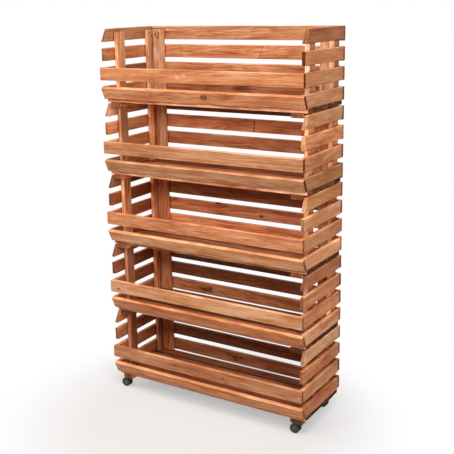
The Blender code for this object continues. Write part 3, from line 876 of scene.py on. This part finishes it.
def crateNails(crate):
    look = nailLook
    rng = random.Random(400 + crate)
    bm = bmesh.new()
    heights = wallHeights(crate)
    reach = look.pairShare * slatWidth

    def drift():
        return rng.uniform(-look.wander, look.wander)

    def dullPair(centre, along, up, halfPair, normal):
        for way in (-1, 1):
            spot = centre + along * (way * halfPair + drift()) + up * (way * reach + drift())
            nailHead(bm, spot, normal, look.dullRadius, 1)

    # side slats, into the uprights
    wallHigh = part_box(f"crate_{crate}_side_wall_right")[1]
    low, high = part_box(f"crate_{crate}_front_upright_right")
    uprightMiddles = ((low.y + high.y) / 2, wallHigh.y - uprightWidth / 2)
    for sign in (-1, 1):
        for z in heights:
            for y in uprightMiddles:
                dullPair(Vector((sign * halfWidth, y, z)), yAxis, zAxis, look.sideReach, (sign, 0, 0))

    # back slats, into the back uprights and into the side slats' ends
    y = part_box(f"crate_{crate}_back_wall")[1].y
    for sign in (-1, 1):
        for z in heights:
            dullPair(Vector((sign * backUprightMiddle, y, z)), xAxis, zAxis, look.wideReach, (0, 1, 0))
            spot = Vector((sign * (halfWidth - look.endInset), y, z + drift()))
            nailHead(bm, spot, (0, 1, 0), look.dullRadius, 1)

    # floor slats, into the runners
    low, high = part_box(f"crate_{crate}_floor")
    for sign in (-1, 1):
        for y in floorMiddles(low, high):
            dullPair(Vector((sign * runnerMiddle, y, high.z)), xAxis, yAxis, look.wideReach, (0, 0, 1))

    # front slats
    low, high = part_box(f"crate_{crate}_upper_front_slat")
    turn, seatTop = leaningSeat(crate)
    for sign in (-1, 1):
        x = sign * (halfWidth - look.endInset)
        spot = Vector((x + drift() * look.endWander, low.y, (low.z + high.z) / 2 - look.below + drift()))
        nailHead(bm, spot, (0, -1, 0), look.brightRadius, 0 if crate in look.brightUpper else 1)
        along = Vector((x, -slatThick - crateShape.seat, -slatWidth / 2 - look.below + drift()))
        nailHead(bm, seatTop + turn @ along, turn @ Vector((0, -1, 0)), look.brightRadius, 0)
    finishPiece(f"crate{crate}.nails", bm, f"crate_{crate}", ("brightNail", "dullNail"))


for crate in range(1, crateCount + 1):
    crateNails(crate)
print("nails driven")

# Casters: a plate on four screws, a housing that swivels under it, and two wheels on one axle
casterLook = SimpleNamespace(
    plateSlack=0.1 * mm,
    plateCorner=4.0 * mm,
    plateEdge=0.35 * mm,
    plateThick=2 * mm,
    screwPitch=25.0 * mm,
    screwRadius=2.7 * mm,
    kingpinRadius=2.5 * mm,
    kingpinLength=11 * mm,
    kingpinChamfer=0.4 * mm,
    kingpinRoot=0.8,        # share of the plate's thickness
    kingpinTip=0.8,         # share of the kingpin's radius
    housingRadius=13.3 * mm,
    housingThick=9.0 * mm,
    bossWidth=12.6 * mm,
    bossDepths=(0.8 * mm, 13.5 * mm),
    flangeRadius=9.3 * mm,
    hubShare=0.58,
    wheelSteps=72,
    housingSteps=48,
    pinSteps=24,
    treadGrooves=3,
    groovePitch=1.35 * mm,
    firstGroove=1.5 * mm,
    grooveDepth=0.18 * mm,
)

# Cross-sections of one wheel and its hub disc, in millimetres. The shoulders' radii are shares of the
# wheel's, the disc face's are shares of the hub's, and the seat and the disc edge start at the hub's edge.
wheelProfile = SimpleNamespace(
    innerFace=((2.4, 4.7), (2.4, 0.2), (2.8, 0), (6.4, 0), (6.8, 0.5), (7.2, 2.6), (14.4, 2.6),
               (14.8, 0.5), (15.2, 0.05)),
    innerShoulder=((0.955, 0.0), (0.985, 0.25), (1, 0.9)),
    groove=((0, 0), (1, 0.12), (1, 0.28), (0, 0.40)),    # shares of the grooves' depth
    outerShoulder=((0.995, 1.55), (0.978, 0.85), (0.945, 0.40), (0.90, 0.22)),
    hubSeat=((1.1, 0.22), (0.6, 0.42), (0.45, 1.1), (-0.4, 1.1)),
    seatDepth=1.1,
    discEdge=((0.25, 1.2), (0.2, 0.6), (-0.2, 0.32)),
    discFace=((0.90, 0.22), (0.86, 0.45), (0.50, 0.34), (0.30, 0.22), (0.27, 0.05), (0.20, 0.02),
              (0.18, 0.28), (0, 0.26)),
)

# A housing's edge as (in from its side face, how far its outline is drawn in), and the flange on its top
# as (radius past the flange's edge or past the block's, height), in millimetres
housingProfile = SimpleNamespace(
    edge=((0, 0.9), (0.15, 0.35), (0.5, 0)),
    flange=((-0.3, 0), (0, -0.3), (0, -1.3), (-0.4, -1.6)),
    neck=((0.4, -2.4), (-0.6, -4.2)),
)

# a screw's pan head as (share of its radius, depth in millimetres), and the row where its cross opens
screwProfile = ((0.92, 0), (1, 0.25), (0.97, 0.75), (0.8, 1.2), (0.55, 1.45), (0.30, 1.5), (0.22, 0.9),
                (0, 0.7))
screwCross = SimpleNamespace(row=5, reach=1.1, arms=4, power=3)


def roundedPlate(bm, half, corner, bottom, edge, steps=7):
    # its top face is at height zero
    outline = []
    for k, (sx, sy) in enumerate(((1, 1), (-1, 1), (-1, -1), (1, -1))):
        for step in range(steps):
            angle = math.radians(90 * k + 90 * step / (steps - 1))
            outline.append((sx * (half - corner), sy * (half - corner), math.cos(angle), math.sin(angle)))
    levels = ((bottom, -edge), (bottom + edge, 0), (-edge, 0), (0, -edge))
    rings = [[bm.verts.new((x + (corner + grow) * cx, y + (corner + grow) * cy, z))
              for x, y, cx, cy in outline] for z, grow in levels]
    skinRings(bm, rings)
    closeEnds(bm, rings)


def screwHead(bm, x, y, top):
    # seen from below
    cross = screwCross
    rings = []
    for row, (share, depth) in enumerate(screwProfile):
        radius = casterLook.screwRadius * share
        reach = cross.reach if row == cross.row else 0.0
        ring = []
        for angle in circle(casterLook.pinSteps) if share else (0.0,):
            crossed = 1.0 + reach * max(0.0, math.cos(cross.arms * angle)) ** cross.power
            ring.append(bm.verts.new((x + radius * crossed * math.cos(angle),
                                      y + radius * crossed * math.sin(angle), top - depth * mm)))
        rings.append(ring)
    skinRings(bm, rings)


def casterPlate(place, label, middle, top):
    look = casterLook
    low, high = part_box(f"caster_{place}_plate")
    thick, pin = look.plateThick, look.kingpinRadius
    pinEnd = -thick - look.kingpinLength
    bm = bmesh.new()
    roundedPlate(bm, (high.x - low.x) / 2 - look.plateSlack, look.plateCorner, -thick,
                 look.plateEdge)
    kingpin = [(pin, -thick * look.kingpinRoot), (pin, pinEnd + look.kingpinChamfer),
               (pin * look.kingpinTip, pinEnd), (0, pinEnd)]
    lathe(bm, kingpin, look.pinSteps, Matrix())
    bmesh.ops.translate(bm, vec=(middle.x, middle.y, top), verts=bm.verts)
    finishPiece(f"{label}.plate", bm, "crate_1", ("blackPaint",), f"caster_{place}_plate")
    screws = bmesh.new()
    reach = look.screwPitch / 2
    for sx in (-1, 1):
        for sy in (-1, 1):
            screwHead(screws, middle.x + sx * reach, middle.y + sy * reach, top - thick)
    finishPiece(f"{label}.screws", screws, "crate_1", ("zincSteel",))


def housingOutline(middle, axle, flangeTop):
    # the housing in the caster's own plane: round at the axle, blocked up to the kingpin
    look = casterLook
    radius = look.housingRadius
    bm = bmesh.new()
    for a in circle(look.housingSteps):
        bm.verts.new((axle.x + radius * math.cos(a), 0, axle.z + radius * math.sin(a)))
    for sx in (-1, 1):
        for drop in look.bossDepths:
            bm.verts.new((middle.x + sx * look.bossWidth / 2, 0, flangeTop - drop))
    hull = bmesh.ops.convex_hull(bm, input=bm.verts)
    spare = {v for key in ("geom_interior", "geom_unused") for v in hull[key]
             if isinstance(v, bmesh.types.BMVert)}
    bmesh.ops.delete(bm, geom=list(spare), context="VERTS")
    bmesh.ops.dissolve_limit(bm, angle_limit=math.radians(2), verts=bm.verts, edges=bm.edges)
    outline = [v.co.copy() for v in max(bm.faces, key=lambda face: face.calc_area()).verts]
    bm.free()
    return outline


def casterHousing(place, label, middle, axle):
    look, rows = casterLook, housingProfile
    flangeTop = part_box(f"caster_{place}_housing")[1].z
    outline = housingOutline(middle, axle, flangeTop)
    centre = sum(outline, Vector()) / len(outline)
    half = look.housingThick / 2
    edge = [(half - inward * mm, inset * mm) for inward, inset in rows.edge]
    bm = bmesh.new()
    rings = []
    for y, inset in [(-y, inset) for y, inset in edge] + edge[::-1]:
        aside = Vector((0, middle.y + y, 0))
        rings.append([bm.verts.new(p + (centre - p) * (inset / (p - centre).length) + aside)
                      for p in outline])
    skinRings(bm, rings)
    closeEnds(bm, rings)
    flange = [(0, 0)]
    for radius, points in ((look.flangeRadius, rows.flange), (look.bossWidth / 2, rows.neck)):
        flange += [(radius + past * mm, h * mm) for past, h in points]
    flange += [(0, flange[-1][1])]
    lathe(bm, flange, look.housingSteps, Matrix.Translation((middle.x, middle.y, flangeTop)))
    finishPiece(f"{label}.housing", bm, f"caster_{place}_swivel", ("blackPlastic",),
                f"caster_{place}_housing")


def casterWheel(place, label, side):
    look, rows = casterLook, wheelProfile
    node = f"caster_{place}_wheel_{side}"
    low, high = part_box(node)
    radius = (high.z - low.z) / 2
    width = high.y - low.y
    hub = look.hubShare * radius
    facing = -1 if side == "front" else 1
    centre = Vector(((low.x + high.x) / 2, high.y if facing < 0 else low.y, (low.z + high.z) / 2))
    matrix = Matrix.Translation(centre) @ Matrix.Rotation(-facing * math.pi / 2, 4, "X")
    # inner face, tread with its grooves, rounded shoulder, rim and the seat of the hub disc
    profile = [(r * mm, h * mm) for r, h in rows.innerFace]
    profile += [(radius * share, h * mm) for share, h in rows.innerShoulder]
    for i in range(look.treadGrooves):
        at = look.firstGroove + look.groovePitch * i
        profile += [(radius - look.grooveDepth * share, at + h * mm) for share, h in rows.groove]
    profile += [(radius * share, width - h * mm) for share, h in rows.outerShoulder]
    profile += [(hub + r * mm, width - h * mm) for r, h in rows.hubSeat]
    profile += [(0, width - rows.seatDepth * mm)]
    disc = [(hub + r * mm, width - h * mm) for r, h in rows.discEdge]
    disc += [(hub * share, width - h * mm) for share, h in rows.discFace]
    for part, outline, plastic in (("Wheel", profile, "treadPlastic"), ("Hub", disc, "hubPlastic")):
        bm = bmesh.new()
        lathe(bm, outline, look.wheelSteps, matrix)
        finishPiece(f"{label}.{side}{part}", bm, f"caster_{place}_wheel_{side}_disc",
                    (plastic,), node, sharp=50)


for place in ("front_left", "front_right", "rear_left", "rear_right"):
    low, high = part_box(f"caster_{place}_plate")
    middle = (low + high) / 2
    axleLow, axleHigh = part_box(f"caster_{place}_axle")
    label = "caster." + place.replace("_l", "L").replace("_r", "R")
    casterPlate(place, label, middle, high.z)
    casterHousing(place, label, middle, (axleLow + axleHigh) / 2)
    for side in ("front", "rear"):
        casterWheel(place, label, side)
    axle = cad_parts[f"caster_{place}_axle"]
    axle.data.materials.clear()
    axle.data.materials.append(metals["zincSteel"])
print("casters made")

# Floor: pale and dull where the rack stands, going over into plain white further out
stageLook = SimpleNamespace(
    floorSize=14.0,
    nearColour=(0.63, 0.60, 0.585, 1),
    roughness=0.9,
    gloss=0.1,
    haze=0.43,              # how far the floor by the rack already goes towards white
    middle=(0.0, -0.2, 0),
    nearRadius=0.36,
    farRadius=0.78,
    white=(1, 1, 1, 1),
    ambient=0.06,
)


def paleFloor():
    look = stageLook
    bm = bmesh.new()
    bmesh.ops.create_grid(bm, x_segments=8, y_segments=8, size=look.floorSize / 2)
    mesh = bpy.data.meshes.new("floor")
    bm.to_mesh(mesh)
    bm.free()
    made, tree, shader = newMaterial("floor")
    place = addNode(tree, "ShaderNodeTexCoord").outputs["Object"]
    distance = addNode(tree, "ShaderNodeVectorMath", {0: place, 1: look.middle}, operation="DISTANCE")
    far = remap(tree, distance.outputs["Value"], look.nearRadius, look.farRadius, look.haze)
    seen = addNode(tree, "ShaderNodeLightPath").outputs["Is Camera Ray"]
    feed(tree, shader, {"Base Color": look.nearColour, "Roughness": look.roughness,
                        "Specular IOR Level": look.gloss})
    mixShaders(tree, calculate(tree, "MULTIPLY", far, seen), shader, addNode(tree, "ShaderNodeEmission"),
               "Material Output")
    mesh.materials.append(made)
    floor = bpy.data.objects.new("floor", mesh)
    bpy.context.scene.collection.objects.link(floor)


def softWorld():
    look = stageLook
    world = bpy.data.worlds.new("studio")
    bpy.context.scene.world = world
    world.use_nodes = True
    tree = world.node_tree
    path = addNode(tree, "ShaderNodeLightPath")
    seen = calculate(tree, "MAXIMUM", path.outputs["Is Camera Ray"], path.outputs["Is Glossy Ray"])
    seen = calculate(tree, "MAXIMUM", seen, path.outputs["Is Transmission Ray"])
    around = tree.nodes["Background"]
    feed(tree, around, {"Color": look.white, "Strength": look.ambient})
    plain = addNode(tree, "ShaderNodeBackground", {"Color": look.white, "Strength": 1.0})
    mixShaders(tree, seen, around, plain, "World Output")


# soft lamps, each with its place, power and size
softBoxes = {
    "steep": ((1.4, -1.8, 4.0), 112, 2.0),
    "left": ((-3.2, -1.2, 2.2), 82, 2.4),
    "nearRight": ((1.9, -1.7, 1.75), 23, 0.7),
    "nearLeft": ((-0.5, -2.0, 1.75), 17, 0.7),
    "side": ((3.4, -0.6, 1.9), 8, 2.4),
    "rear": ((-0.8, 3.4, 2.6), 30, 2.8),
}


def softBox(name, place, power, size):
    lamp = bpy.data.lights.new(name, "AREA")
    lamp.energy = power
    lamp.shape = "DISK"
    lamp.size = size
    holder = bpy.data.objects.new(name, lamp)
    holder.location = place
    aim = Vector((0, 0, cadBox[1].z / 2)) - holder.location
    holder.rotation_euler = aim.to_track_quat("-Z", "Y").to_euler()
    bpy.context.scene.collection.objects.link(holder)


paleFloor()
softWorld()
for name, row in softBoxes.items():
    softBox(name, *row)

# The camera stands to the front right, a little above the rack
cameraLook = SimpleNamespace(
    place=(1.55866, -2.50567, 1.46537),
    yaw=33.007,
    pitch=-13.975,
    roll=-1.272,
    lens=67.295,
    sensor=36,
    shift=(0.04846, -0.03744),
)


def addCamera():
    look = cameraLook
    data = bpy.data.cameras.new("camera")
    data.lens = look.lens
    data.sensor_width = look.sensor
    data.shift_x, data.shift_y = look.shift
    camera = bpy.data.objects.new("camera", data)
    turn = (Matrix.Rotation(math.radians(look.yaw), 4, "Z") @
            Matrix.Rotation(math.radians(90 + look.pitch), 4, "X") @
            Matrix.Rotation(math.radians(look.roll), 4, "Z"))
    camera.matrix_world = Matrix.Translation(look.place) @ turn
    bpy.context.scene.collection.objects.link(camera)
    bpy.context.scene.camera = camera


addCamera()
bpy.context.scene.view_settings.view_transform = "Standard"

print("stage, lights and camera set")
